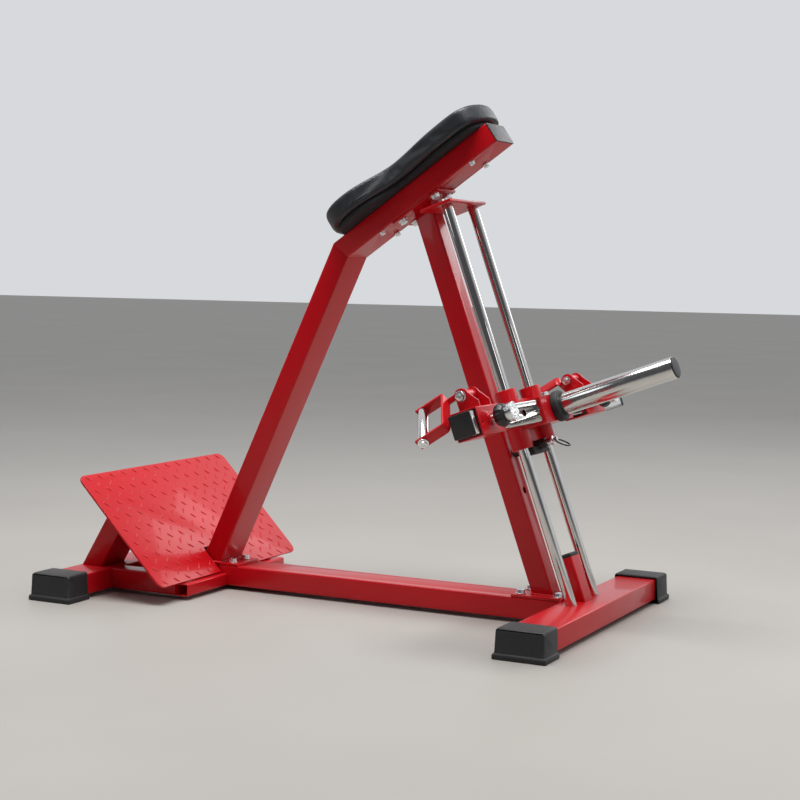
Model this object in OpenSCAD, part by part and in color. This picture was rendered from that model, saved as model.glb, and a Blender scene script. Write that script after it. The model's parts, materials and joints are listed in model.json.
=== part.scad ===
// Plate-loaded, chest-supported row frame with a leaning guide-rod carriage.
// X runs from the foot plate (-X) to the weight horn (+X), Y across, Z up.
// The origin is on the floor, below the middle of the whole machine.

/* [Frame tubes] */
// Width of the main frame tubes
tube_w = 100; // [90:1:110]
// Depth of the main frame tubes
tube_d = 50; // [46:1:54]
// Wall of the frame tubes
wall = 3; // [2:0.5:4]
// Height of the tube undersides above the floor
foot_lift = 10; // [8:1:14]

/* [Base] */
// Length of the front and rear cross-bars
cross_len = 800; // [740:5:860]
// Length of the main beam between the cross-bars
beam_len = 1120; // [1080:5:1160]
// Overlap of each rubber foot on its tube end
foot_grip = 71; // [60:1:80]
// Rubber around and beyond the tube end
foot_wall = 7; // [5:1:9]

/* [Foot plate] */
// Width of the foot plate
plate_w = 634; // [560:2:660]
// Length of the foot plate up its slope
plate_len = 350; // [300:2:380]
// Thickness of the foot plate
plate_t = 5; // [4:0.5:6]
// Slope of the foot plate from the floor
plate_slope = 45.8; // [43:0.1:48]
// Distance of its lower edge behind the front cross-bar's front face
plate_low_x = 1010; // [1005:1:1015]
// Height of its lower edge
plate_low_z = 44.5; // [44:0.5:48]

/* [Posts and pad] */
// Lean of the rear post from upright
rear_lean = 24.75; // [23:0.25:26]
// Slope of the pad beam from level
pad_slope = 35; // [33:0.5:37]
// Distance of the knee behind the front cross-bar's front face
knee_x = 701; // [695:1:707]
// Height of the knee
knee_z = 868.5; // [850:0.5:880]
// Length of the pad beam along its top
pad_beam_len = 479; // [465:1:490]
// Length of the pad
pad_len = 478; // [465:1:490]
// Thickness of the pad's foam and cover
pad_t = 46; // [42:1:56]
// Thickness of the pad's plywood board
board_t = 12; // [10:1:18]

/* [Guide rods] */
// Lean of the front post and the guide rods from upright
lean = 20; // [18.5:0.25:21]
// Distance of the front post's face, at beam height, behind the front cross-bar's face
post_back = 125; // [120:1:130]
// Distance from the front post's face to the rods' centre line
rod_out = 57; // [55:0.5:59]
// Half the spacing of the rods
rod_half = 71; // [68:1:74]
// Diameter of the rods
rod_dia = 25; // [24:0.5:26]
// Distance up the rods of the head plate's underside
head_s = 935; // [920:1:945]

/* [Carriage] */
// Distance up the rods of the cross bar's centre line
bar_s = 418; // [410:1:426]
// Half the length of the cross bar
bar_half = 450; // [430:1:460]
// Side of the square cross bar
bar_side = 50; // [46:1:52]
// Radius of the weight horn
horn_r = 25; // [24:0.5:25]
// Length of the weight horn in front of its bracket
horn_len = 299; // [260:1:320]
// Pitch of the grip-width holes along the cross bar
hole_pitch = 65; // [60:1:66]

/* [Handles] */
// Where the right slider block stands across the machine
right_block_y = -370; // [-370, -305, -240]
// Where the left slider block stands across the machine
left_block_y = 240; // [240, 305]
// Droop of the handles below square to the rods
droop = 13; // [12:0.5:14]
// Reach from the hinge bolt to the grip
grip_reach = 100; // [95:1:105]
// Tilt of the grips away from the rods' direction
grip_tilt = 47.4; // [44:0.2:50]
// Distance between the two arms of a handle
grip_span = 100; // [96:1:106]

/* [Hidden] */

red = "crimson";
big = 3000;
corner = 4;
beam_top = foot_lift + tube_d;
flange_t = 6;
flange_top = beam_top + flange_t;
rear_face = -(tube_w + beam_len);
foot_w = tube_w + 2 * foot_wall;
foot_h = beam_top + foot_wall;
foot_flange = 4;
foot_flange_h = 12;

// Slider and bracket sections round the cross bar
bar_o = rod_out + 25 + bar_side / 2;
bar_front = bar_o + bar_side / 2;
skin = 3;
liner_t = 2.7;
bar_gap = 0.3;
block_side = bar_side + 2 * (skin + liner_t + bar_gap);
block_len = 118;
bracket_half = 82;
bracket_t = 6;
bracket_front = bar_front + bracket_t;
sleeve_r = 24.9;
bearing_r = 20;
sleeve_low = 346;
sleeve_len = 140;

// Latch pins: pulled out by one stroke at rest
pin_r = 7.95;
pin_bore = 8;
pop_stroke = 9;
lock_stroke = 12;
lock_s = 348;
first_hole = 175;

// Hinge bolt of a handle, seen from the slider block
hinge_o = 101;
hinge_s = bar_s + 63;
ear_in = 25;
ear_t = 6;
m12 = 6;
m10 = 5;

// The machine's middle, from the rear feet to the horn's tip
horn_tip_x = -post_back + (bracket_front + horn_len) * cos(lean) - (bar_s - horn_r) * sin(lean);
rear_tip_x = rear_face - tube_w / 2 - foot_w / 2 - foot_flange;
shift_x = -(horn_tip_x + rear_tip_x) / 2;

module framed() translate([shift_x, 0, 0]) children();
module on_rods() framed() translate([-post_back, 0, beam_top]) rotate([0, -lean, 0]) children();
module on_pad_beam() framed() translate([-knee_x, 0, knee_z]) rotate([0, -pad_slope, 0]) children();
module on_plate()
    framed() translate([-plate_low_x, 0, plate_low_z]) rotate([0, plate_slope, 0]) children();
module along_o() rotate([0, 90, 0]) children();

module rounded(w, h, r) {
    square([w - 2 * r, h], center = true);
    square([w, h - 2 * r], center = true);
    for (x = [-1, 1], y = [-1, 1])
        translate([x * (w / 2 - r), y * (h / 2 - r)]) circle(r, $fn = 32);
}
module section(w, h, t = wall, r = corner) difference() {
    rounded(w, h, r);
    square([w - 2 * t, h - 2 * t], center = true);
}
// Tubes from their centre line's start, along X and along Y, and one standing on Z
module tube_x(len, w, h, t = wall) rotate([90, 0, 90]) linear_extrude(len) section(w, h, t);
module tube_y(len, w, h, t = wall)
    translate([0, len / 2, 0]) rotate([90, 0, 0]) linear_extrude(len) section(w, h, t);
module tube_z(len, x, y, t = wall) linear_extrude(len) section(x, y, t);
module box(size, at) translate([at.x - size.x / 2, at.y - size.y / 2, at.z]) cube(size);
module rod(r, len, at = [0, 0, 0]) translate(at) cylinder(r = r, h = len, $fn = 64);
module hex(across, h) cylinder(r = across / sqrt(3), h = h, $fn = 6);
// Hexagon bolt with a washer: head up, shank down
module bolt(r, shank) {
    difference() {
        translate([0, 0, 2]) hex(r * 3.1, r * 1.3);
        translate([0, 0, 2 + r * 1.3 - 0.6]) cylinder(r = r * 0.75, h = 1, $fn = 32);
    }
    cylinder(r = r * 2, h = 2, $fn = 48);
    translate([0, 0, -shank]) cylinder(r = r, h = shank + 0.01, $fn = 48);
}
// Hexagon nut that the shank of radius r fills
module nut(r) difference() {
    hex(r * 3.1, r * 1.5);
    translate([0, 0, -1]) cylinder(r = r, h = 12, $fn = 48);
}

// ---- Base ----
base_bolt_spots = [[-1090, 30], [-1090, -30], [-992, 30], [-992, -30],
    [-205, 30], [-205, -30], [-112, 30], [-112, -30]];

module main_beam() color(red) framed() difference() {
    translate([rear_face, 0, foot_lift + tube_d / 2]) tube_x(beam_len, tube_w, tube_d);
    for (p = base_bolt_spots) rod(m12 + 0.3, big, [p.x, p.y, beam_top - wall - 1]);
}
module crossbar(front_face) color(red) framed()
    translate([front_face - tube_w / 2, 0, foot_lift + tube_d / 2]) tube_y(cross_len, tube_w, tube_d);
module front_crossbar() crossbar(0);
module rear_crossbar() crossbar(rear_face);

rail_out = 226;
stub_w = 40;
stub_h = 30;
stub_back = 1035;
rail_front = -stub_back;
module side_rail(side) color(red) framed()
    translate([rear_face, side * (rail_out - 25), foot_lift + 25]) tube_x(rail_front - rear_face, 50, 50);
module plate_stubs() color(red) framed() for (side = [-1, 1])
    translate([-stub_back + stub_w / 2, side * (rail_out + tube_w / 2) / 2, foot_lift + stub_h / 2])
    tube_y(rail_out - tube_w / 2, stub_w, stub_h, 2.5);

strut_lean = 31.2;
strut_foot_x = 1313;
module strut(side) color(red) difference() {
    framed() translate([-strut_foot_x, side * (rail_out - 50), beam_top])
        rotate([0, strut_lean, 0]) translate([tube_d / 2, 0, -60]) tube_z(400, tube_d, tube_w);
    framed() translate([-big, -big, beam_top - big]) cube([2 * big, 2 * big, big]);
    on_plate() translate([-big, -big, -plate_t]) cube([2 * big, 2 * big, big]);
}

notch_half = tube_w / 2 + 3;
notch_len = 78;
plate_corner = 22;
module foot_plate() color(red) on_plate() translate([0, 0, -plate_t]) linear_extrude(plate_t)
    difference() {
        translate([-plate_len / 2, 0]) rounded(plate_len, plate_w, plate_corner);
        translate([-notch_len, -notch_half]) square([notch_len * 2, notch_half * 2]);
    }

foot_depth = foot_grip + foot_wall;
module foot(x, side) color("dimgray") framed() translate([x, side * (cross_len / 2 - foot_grip), 0])
    scale_y(side) difference() {
        union() {
            translate([0, 0, foot_flange_h]) foot_body();
            box([foot_w + 2 * foot_flange, foot_depth + foot_flange, foot_flange_h],
                [0, (foot_depth + foot_flange) / 2, 0]);
        }
        translate([-tube_w / 2, -1, foot_lift]) cube([tube_w, foot_grip + 1, tube_d]);
    }
module scale_y(side) if (side < 0) mirror([0, 1, 0]) children(); else children();
// Body of a foot with a drafted end wall and sides
module foot_body() {
    h = foot_h - foot_flange_h;
    d = foot_depth;
    intersection() {
        rotate([90, 0, 0]) translate([0, 0, -d]) linear_extrude(d) polygon([[-foot_w / 2, 0],
            [foot_w / 2, 0], [foot_w / 2 - 2, h - 4], [foot_w / 2 - 6, h],
            [-foot_w / 2 + 6, h], [-foot_w / 2 + 2, h - 4]]);
        rotate([90, 0, 90]) translate([0, 0, -foot_w]) linear_extrude(foot_w * 2)
            polygon([[0, 0], [d, 0], [d - 2, h - 5], [d - 7, h], [0, h]]);
    }
}

// ---- Posts and pad ----
rear_flange_front = 965;
rear_flange_back = 1112;
front_flange_front = 97;
front_flange_back = 222;
module post_flange(back, front) color(red) framed() difference() {
    box([back - front, tube_w, flange_t], [-(back + front) / 2, 0, beam_top]);
    for (p = base_bolt_spots) rod(m12 + 0.3, big, [p.x, p.y, beam_top - 1]);
}
module rear_post_flange() post_flange(rear_flange_back, rear_flange_front);
module front_post_flange() post_flange(front_flange_back, front_flange_front);

knee_cut = (90 - rear_lean + pad_slope) / 2;
module below_flange() framed() translate([-big, -big, flange_top - 2 * big]) cube(2 * big);
module knee_side(way) framed() translate([-knee_x, 0, knee_z]) rotate([0, -knee_cut, 0])
    translate([way > 0 ? 0 : -2 * big, -big, -big]) cube(2 * big);
module rear_post() color(red) difference() {
    framed() translate([-knee_x, 0, knee_z]) rotate([0, rear_lean, 0])
        translate([tube_d / 2, 0, -920]) tube_z(1000, tube_d, tube_w);
    below_flange();
    knee_side(1);
}
screw_spots = [for (x = [120, 399], y = [-40, 40]) [x, y]];
head_bolt_spots = [for (x = [178, 278], y = [-34, 34]) [x, y]];
module pad_beam() color(red) difference() {
    on_pad_beam() translate([-60, 0, -tube_d / 2]) tube_x(pad_beam_len + 60, tube_w, tube_d);
    knee_side(-1);
    on_pad_beam() for (p = screw_spots) rod(4.2, big, [p.x, p.y, -tube_d - 1]);
    on_pad_beam() for (p = head_bolt_spots) rod(m12 + 0.3, wall + 2, [p.x, p.y, -tube_d - 1]);
}
module above_beam(gap) on_pad_beam() translate([-big, -big, -tube_d - gap]) cube(2 * big);
lock_hole_r = 8.2;
module front_post() color(red) difference() {
    on_rods() translate([-25, 0, -100]) tube_z(1200, 50, 50);
    below_flange();
    above_beam(flange_t);
    on_rods() for (s = [lock_s, lock_s - 90])
        translate([-wall - 2, 0, s]) along_o() cylinder(r = lock_hole_r, h = wall + 5, $fn = 48);
}
module head_flange() color(red) on_pad_beam() difference() {
    box([140, tube_w, flange_t], [228, 0, -tube_d - flange_t]);
    for (p = head_bolt_spots) rod(m12 + 0.3, 20, [p.x, p.y, -tube_d - 10]);
}
head_half = 100;
head_out = 81;
module rod_head_plate() color(red) difference() {
    on_rods() translate([0, 0, head_s]) difference() {
        translate([0, -head_half, 0]) cube([head_out, 2 * head_half, 6]);
        for (y = [-rod_half, rod_half]) rod(m10 + 0.2, 20, [rod_out, y, -1]);
    }
    above_beam(flange_t);
}
module guide_rod(side) color("gainsboro") difference() {
    on_rods() difference() {
        rod(rod_dia / 2, head_s + 40, [rod_out, side * rod_half, -40]);
        rod(m10, 30, [rod_out, side * rod_half, head_s - 22]);
    }
    framed() translate([-big, -big, beam_top - 2 * big]) cube(2 * big);
}
stop_in = 42;
stop_out = 72;
stop_s = 82;
module stop_post() color(red) difference() {
    on_rods() translate([(stop_in + stop_out) / 2, 0, -60]) tube_z(stop_s + 60, stop_out - stop_in, 50);
    framed() translate([-big, -big, beam_top - 2 * big]) cube(2 * big);
}
module stop_pad() color("black") on_rods()
    translate([(stop_in + stop_out) / 2, 0, stop_s]) linear_extrude(8) rounded(stop_out - stop_in, 50, 4);

module tube_end_caps() color("black") {
    on_pad_beam() translate([pad_beam_len, 0, -tube_d / 2]) rotate([90, 0, 90])
        linear_extrude(3) rounded(tube_w, tube_d, corner);
    on_pad_beam() translate([pad_beam_len - 15, 0, -tube_d / 2]) rotate([90, 0, 90])
        linear_extrude(15) square([tube_w - 2 * wall - 0.4, tube_d - 2 * wall - 0.4], center = true);
}
module frame_bolts() color("silver") {
    framed() for (p = base_bolt_spots) translate([p.x, p.y, flange_top]) bolt(m12, 22);
    on_pad_beam() for (p = head_bolt_spots) translate([p.x, p.y, -tube_d - flange_t])
        mirror([0, 0, 1]) bolt(m12, 22);
    on_rods() for (y = [-rod_half, rod_half]) translate([rod_out, y, head_s + 6]) bolt(m10, 26);
}
module pad_screws() color("silver") on_pad_beam() for (p = screw_spots)
    translate([p.x, p.y, -tube_d]) mirror([0, 0, 1]) bolt(4, tube_d + board_t - 2);

// Half-width of the pad along its length: a wide lower lobe, a waist and an upper lobe
lobe_low = [100, 126];
waist = [236, 82];
lobe_top = [372, 97];
low_bluntness = 2.8;
top_bluntness = 5;
function ease(a, b, t) = a + (b - a) * (1 - cos(180 * t)) / 2;
function round_end(t, bluntness) = pow(1 - pow(t, bluntness), 0.5);
function half_width(x) =
    x < lobe_low.x ? lobe_low.y * round_end((lobe_low.x - x) / lobe_low.x, low_bluntness)
    : x < waist.x ? ease(lobe_low.y, waist.y, (x - lobe_low.x) / (waist.x - lobe_low.x))
    : x < lobe_top.x ? ease(waist.y, lobe_top.y, (x - waist.x) / (lobe_top.x - waist.x))
    : lobe_top.y * round_end((x - lobe_top.x) / (pad_len - lobe_top.x), top_bluntness);
pad_steps = 36;
function pad_x(i) = pad_len * (1 - cos(180 * i / pad_steps)) / 2;
function inset_at(x, inset) = inset + x * (pad_len - 2 * inset) / pad_len;
module pad_outline(inset) polygon(concat(
    [for (i = [0:pad_steps]) [inset_at(pad_x(i), inset), -max(half_width(pad_x(i)) - inset, 0.5)]],
    [for (i = [pad_steps:-1:0]) [inset_at(pad_x(i), inset), max(half_width(pad_x(i)) - inset, 0.5)]]));
pad_start = 11;
module pad_board() color("dimgray") on_pad_beam() difference() {
    translate([pad_start, 0, 0]) linear_extrude(board_t) pad_outline(14);
    for (p = screw_spots) rod(4.1, board_t, [p.x, p.y, -2]);
}
module pad_cushion() color("black") on_pad_beam()
    translate([pad_start, 0, board_t]) linear_extrude(pad_t) pad_outline(0);

// ---- Carriage ----
module sleeve(side) color(red) on_rods() difference() {
    rod(sleeve_r, sleeve_len, [rod_out, side * rod_half, sleeve_low]);
    rod(bearing_r, sleeve_len + 2, [rod_out, side * rod_half, sleeve_low - 1]);
}
bearing_len = 58;
module sleeve_bearings() color("dimgray") on_rods()
    for (y = [-rod_half, rod_half], s = [sleeve_low, sleeve_low + sleeve_len - bearing_len])
        difference() {
            rod(bearing_r, bearing_len, [rod_out, y, s]);
            rod(rod_dia / 2 + 0.06, bearing_len + 2, [rod_out, y, s - 1]);
        }
clamp_bolt_o = bar_o + 10;
web_t = 8;
web_low = sleeve_low;
web_top = 462;
housing_r = 12;
module carriage_web() color(red) on_rods() difference() {
    translate([rod_out - web_t / 2, -rod_half, web_low]) cube([web_t, 2 * rod_half, web_top - web_low]);
    for (y = [-rod_half, rod_half]) rod(sleeve_r, 300, [rod_out, y, web_low - 10]);
    housing_hole();
}
module housing_hole()
    translate([rod_out - 20, 0, lock_s]) along_o() cylinder(r = housing_r, h = 40, $fn = 64);
plate_back = rod_out + web_t / 2;
module bar_bracket() color(red) on_rods() difference() {
    union() {
        translate([bar_front, -bracket_half, bar_s - bar_side / 2 - bracket_t])
            cube([bracket_t, 2 * bracket_half, bar_side + 2 * bracket_t]);
        for (z = [bar_s + bar_side / 2, bar_s - bar_side / 2 - bracket_t])
            translate([plate_back, -bracket_half, z])
                cube([bar_front - plate_back + 0.1, 2 * bracket_half, bracket_t]);
    }
    for (y = [-rod_half, rod_half]) rod(sleeve_r, 300, [rod_out, y, sleeve_low - 10]);
    rod(m12 + 0.2, 60, [clamp_bolt_o, 0, bar_s]);
}
module bracket_bolt() color("silver") on_rods()
    translate([clamp_bolt_o, 0, bar_s + bar_side / 2 + bracket_t]) {
        bolt(m12, bracket_t + wall + 16);
        translate([0, 0, -bracket_t - wall - 9.5]) nut(m12);
    }
width_holes = [for (side = [-1, 1], i = [0:3]) side * (first_hole + i * hole_pitch)];
module cross_bar() color("gainsboro") on_rods() translate([bar_o, 0, bar_s]) difference() {
    rotate([90, 0, 0]) translate([0, 0, -bar_half]) linear_extrude(2 * bar_half)
        section(bar_side, bar_side, wall, 2);
    for (y = width_holes)
        translate([bar_side / 2 - wall - 1, y, 0]) along_o() cylinder(r = lock_hole_r, h = 10, $fn = 48);
    rod(m12 + 0.2, 60, [clamp_bolt_o - bar_o, 0, 0]);
}
module cross_bar_caps() color("black") on_rods() translate([bar_o, 0, bar_s])
    for (side = [-1, 1]) scale_y(side) {
        translate([0, bar_half + 4, 0]) rotate([90, 0, 0]) linear_extrude(4)
            rounded(bar_side + 1, bar_side + 1, 3);
        translate([0, bar_half, 0]) rotate([90, 0, 0]) linear_extrude(16)
            square(bar_side - 2 * wall - 0.4, center = true);
    }
collar_len = 18;
horn_wall = 4;
horn_root_r = horn_r - 2;
cap_t = 3;
module weight_horn() color("gainsboro") on_rods()
    translate([bracket_front, 0, bar_s]) along_o() difference() {
        union() {
            cylinder(r = horn_root_r, h = collar_len, $fn = 96);
            translate([0, 0, collar_len]) cylinder(r = horn_r, h = horn_len - cap_t - collar_len, $fn = 96);
        }
        translate([0, 0, 6]) cylinder(r = horn_root_r - horn_wall, h = horn_len, $fn = 96);
    }
plug_r = horn_root_r - horn_wall - 0.1;
cap_r = horn_r - 0.4;
module horn_end_cap() color("gray") on_rods()
    translate([bracket_front + horn_len - cap_t, 0, bar_s]) along_o() rotate_extrude($fn = 96)
        polygon([[0, -12], [plug_r, -12], [plug_r, 0], [cap_r, 0], [cap_r, 1.5], [cap_r - 1.5, cap_t],
            [0, cap_t]]);
collar_r = 36;
collar_bore = horn_root_r + 0.05;
module horn_collar() color("black") on_rods()
    translate([bracket_front, 0, bar_s]) along_o() rotate_extrude($fn = 96)
        polygon([[collar_bore, 0], [collar_r, 0], [collar_r, collar_len - 3], [collar_r - 3, collar_len],
            [collar_bore, collar_len]]);

housing_in = 3;
housing_out = 88;
module lock_housing() color("black") on_rods() translate([housing_in, 0, lock_s]) along_o()
    difference() {
        cylinder(r = housing_r, h = housing_out - housing_in, $fn = 64);
        translate([0, 0, -1]) cylinder(r = pin_bore, h = housing_out, $fn = 64);
    }
bumper_t = 17;
module carriage_bumper() color("black") on_rods() difference() {
    translate([rod_out, 0, web_low - bumper_t]) linear_extrude(bumper_t) rounded(30, 88, 4);
    housing_hole();
}

// Lock pin: shank in the housing and a head outside it, drawn out by its stroke
module lock_pin() color("silver") on_rods() translate([0.4, 0, lock_s]) along_o() {
    out = housing_out + lock_stroke;
    difference() {
        union() {
            cylinder(r = pin_r, h = out, $fn = 64);
            translate([0, 0, out - 0.2]) cylinder(r = 11, h = 7, $fn = 64);
            translate([0, 0, out]) cylinder(r = 5, h = 16, $fn = 48);
        }
        translate([0, 20, out + 11.5]) rotate([90, 0, 0]) cylinder(r = 2.5, h = 40, $fn = 32);
    }
}
loop_r = 18;
loop_droop = 40;
module pull_loop() color("black") on_rods()
    translate([housing_out + lock_stroke + 11.9, 0, lock_s]) rotate([0, loop_droop, 0])
    translate([loop_r, 0, 0]) rotate_extrude($fn = 72) translate([loop_r, 0]) circle(1.7, $fn = 24);

// ---- Slider blocks, pop-pins and handles ----
module at_block(side) on_rods()
    translate([bar_o, side < 0 ? right_block_y : left_block_y, bar_s]) scale_y(-side) children();
boss_h = 3.5;
ear_outline = [[-14, -28], [34, -28], [34, -19], [9, 12], [-7, 15], [-14, 6]];
module slider_block(side) color(red) at_block(side) difference() {
    union() {
        rotate([90, 0, 0]) translate([0, 0, -block_len / 2]) linear_extrude(block_len)
            section(block_side, block_side, skin, 3);
        translate([block_side / 2, 0, 0]) along_o() cylinder(r = 15, h = boss_h, $fn = 64);
        for (y = [-ear_in - ear_t, ear_in]) clevis_ear(y);
    }
    translate([block_side / 2 - skin - 1, 0, 0]) along_o() cylinder(r = pin_bore, h = 12, $fn = 64);
    translate([block_side / 2 - skin - 1, -46, -4]) along_o() cylinder(r = 3, h = 12, $fn = 32);
    translate([hinge_o - bar_o, 50, hinge_s - bar_s]) rotate([90, 0, 0]) cylinder(r = m12, h = 100, $fn = 64);
}
// One ear of the hinge clevis, its lower edge on the block's top
module clevis_ear(y) translate([hinge_o - bar_o, y + ear_t, 0]) rotate([90, 0, 0]) linear_extrude(ear_t)
    translate([0, hinge_s - bar_s]) union() {
        polygon(ear_outline);
        circle(16, $fn = 48);
        translate([-14, block_side / 2 - (hinge_s - bar_s) - 0.5]) square([48, 12]);
    }
module slider_liner(side) color("black") at_block(side) difference() {
    rotate([90, 0, 0]) translate([0, 0, -block_len / 2 + 2]) linear_extrude(block_len - 4) difference() {
        square(block_side - 2 * skin, center = true);
        square(bar_side + 2 * bar_gap, center = true);
    }
    translate([20, 0, 0]) along_o() cylinder(r = pin_bore + 0.4, h = 20, $fn = 48);
    translate([20, -46, -4]) along_o() cylinder(r = 3, h = 20, $fn = 32);
}
module hinge_bolt(side) color("silver") at_block(side)
    translate([hinge_o - bar_o, -ear_in - ear_t, hinge_s - bar_s]) rotate([90, 0, 0]) {
        bolt(m12 - 0.02, 2 * (ear_in + ear_t) + 12);
        translate([0, 0, -2 * (ear_in + ear_t)]) mirror([0, 0, 1]) nut(m12 - 0.02);
    }
pop_tip = bar_front + 0.3 - bar_o;
knob_back = block_side / 2 + boss_h + pop_stroke + 0.5;
knob_len = 25;
module pop_pin(side) color("silver") at_block(side) translate([pop_tip, 0, 0]) along_o() {
    cylinder(r = pin_r, h = knob_back - pop_tip + knob_len, $fn = 64);
    translate([0, 0, knob_back - pop_tip + knob_len]) cylinder(r = 15, h = 8, $fn = 64);
    translate([0, 0, knob_back - pop_tip + knob_len + 8]) cylinder(r = 21, h = 10, $fn = 96);
}
module pop_knob(side) color("black") at_block(side) translate([knob_back, 0, 0]) along_o()
    rotate_extrude($fn = 96)
    polygon([[pin_r, 0], [19, 0], [25, 5], [25.5, 14], [22, knob_len], [pin_r, knob_len]]);

u_back = 36;
u_t = 6;
u_w = 25;
u_mid_y = -53;
u_mid_q = -15;
module at_handle(side) at_block(side)
    translate([hinge_o - bar_o, 0, hinge_s - bar_s]) rotate([0, -droop, 0]) children();
module at_grip(side) at_handle(side) translate([0, u_mid_y, u_mid_q]) rotate([-grip_tilt, 0, 0]) children();
bend_r = 10;
module u_outline(reach, half) difference() {
    union() {
        translate([-reach, -half]) square([reach - bend_r, 2 * half]);
        translate([-bend_r, -half + bend_r]) square([bend_r, 2 * (half - bend_r)]);
        for (z = [-1, 1]) translate([-bend_r, z * (half - bend_r)]) circle(bend_r, $fn = 48);
    }
    translate([-reach - 1, -half + u_t]) square([reach + 1 - u_t, 2 * (half - u_t)]);
}
hub_r = 12;
hub_half = ear_in - 0.5;
module handle(side) color(red) difference() {
    union() {
        at_grip(side) translate([-u_back, 0, 0]) rotate([90, 0, 0]) translate([0, 0, -u_w / 2])
            linear_extrude(u_w) u_outline(grip_reach - u_back + 13, grip_span / 2 + u_t / 2);
        at_handle(side) rotate([90, 0, 0]) cylinder(r = hub_r, h = 2 * hub_half, center = true, $fn = 64);
        at_handle(side) translate([-u_back - 1, -hub_half, 0]) cube([u_back - 6, 14, 12]);
    }
    at_handle(side) rotate([90, 0, 0]) cylinder(r = m12 + 0.05, h = 100, center = true, $fn = 64);
    at_grip(side) translate([-grip_reach, 0, 0]) cylinder(r = m10 + 0.1, h = 200, center = true, $fn = 48);
}
arm_out = grip_span / 2 + u_t / 2;
module grip_bolt(side) color("silver") at_grip(side) translate([-grip_reach, 0, -arm_out])
    mirror([0, 0, 1]) {
        cylinder(r = 12, h = 2, $fn = 64);
        translate([0, 0, 2]) difference() {
            cylinder(r = 8, h = 5, $fn = 64);
            translate([0, 0, 2.5]) hex(8, 4);
        }
        translate([0, 0, -2 * arm_out - 9]) cylinder(r = m10, h = 2 * arm_out + 9.01, $fn = 48);
        translate([0, 0, -2 * arm_out - 8]) nut(m10);
    }
grip_gap = 0.4;
module grip(side) color("gainsboro") at_grip(side) translate([-grip_reach, 0, 0]) difference() {
    cylinder(r = 12.5, h = grip_span - u_t - 2 * grip_gap, center = true, $fn = 96);
    cylinder(r = m10 + 0.06, h = 200, center = true, $fn = 64);
}

main_beam();
front_crossbar();
rear_crossbar();
side_rail(1);  // left_side_rail
side_rail(-1);  // right_side_rail
plate_stubs();
strut(1);  // left_strut
strut(-1);  // right_strut
foot_plate();
rear_post_flange();
rear_post();
pad_beam();
front_post_flange();
front_post();
head_flange();
rod_head_plate();
guide_rod(1);  // left_guide_rod
guide_rod(-1);  // right_guide_rod
stop_post();
stop_pad();
foot(-tube_w / 2, 1);  // front_left_foot
foot(-tube_w / 2, -1);  // front_right_foot
foot(rear_face - tube_w / 2, 1);  // rear_left_foot
foot(rear_face - tube_w / 2, -1);  // rear_right_foot
tube_end_caps();
frame_bolts();
pad_screws();
pad_board();
pad_cushion();
sleeve(1);  // left_sleeve
sleeve(-1);  // right_sleeve
sleeve_bearings();
carriage_web();
bar_bracket();
bracket_bolt();
cross_bar();
cross_bar_caps();
weight_horn();
horn_collar();
horn_end_cap();
lock_housing();
carriage_bumper();
lock_pin();
pull_loop();
slider_block(1);  // left_slider_block
slider_liner(1);  // left_slider_liner
hinge_bolt(1);  // left_hinge_bolt
pop_pin(1);  // left_pop_pin
pop_knob(1);  // left_pop_knob
handle(1);  // left_handle
grip_bolt(1);  // left_grip_bolt
grip(1);  // left_grip
slider_block(-1);  // right_slider_block
slider_liner(-1);  // right_slider_liner
hinge_bolt(-1);  // right_hinge_bolt
pop_pin(-1);  // right_pop_pin
pop_knob(-1);  // right_pop_knob
handle(-1);  // right_handle
grip_bolt(-1);  // right_grip_bolt
grip(-1);  // right_grip
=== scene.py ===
import json
from math import cos, pi, radians, sin, sqrt

import bmesh
import bpy
from mathutils import Matrix, Vector

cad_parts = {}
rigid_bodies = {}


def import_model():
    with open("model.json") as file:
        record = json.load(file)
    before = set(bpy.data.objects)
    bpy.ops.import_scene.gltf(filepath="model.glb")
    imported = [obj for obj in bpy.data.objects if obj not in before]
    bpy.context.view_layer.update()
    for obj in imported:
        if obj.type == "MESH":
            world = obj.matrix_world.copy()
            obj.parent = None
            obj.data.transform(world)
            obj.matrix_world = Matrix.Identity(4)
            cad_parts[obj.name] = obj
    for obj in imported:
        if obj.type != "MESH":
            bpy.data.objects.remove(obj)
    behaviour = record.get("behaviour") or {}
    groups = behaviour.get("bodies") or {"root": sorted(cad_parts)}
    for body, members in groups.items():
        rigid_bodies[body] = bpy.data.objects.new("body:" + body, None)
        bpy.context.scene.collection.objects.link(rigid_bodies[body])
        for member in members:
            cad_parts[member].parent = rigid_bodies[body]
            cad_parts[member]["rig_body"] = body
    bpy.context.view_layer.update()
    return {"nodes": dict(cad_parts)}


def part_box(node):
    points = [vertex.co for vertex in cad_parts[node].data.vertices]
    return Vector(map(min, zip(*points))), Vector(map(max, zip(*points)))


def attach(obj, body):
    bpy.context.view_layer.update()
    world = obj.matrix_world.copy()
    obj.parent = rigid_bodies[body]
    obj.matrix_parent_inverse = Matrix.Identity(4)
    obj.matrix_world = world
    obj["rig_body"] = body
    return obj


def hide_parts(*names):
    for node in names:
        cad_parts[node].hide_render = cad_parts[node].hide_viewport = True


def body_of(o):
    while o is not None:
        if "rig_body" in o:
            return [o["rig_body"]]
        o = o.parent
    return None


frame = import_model()

# ---- Base: beam, cross-bars, side rails, stubs and struts ----
# Welded steel tube with rounded corners, powder coated in a glossy bright red.
# The coat has a faint orange peel, a painted highlight that makes it lighter along the edges, and a little
# dust on top.


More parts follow.
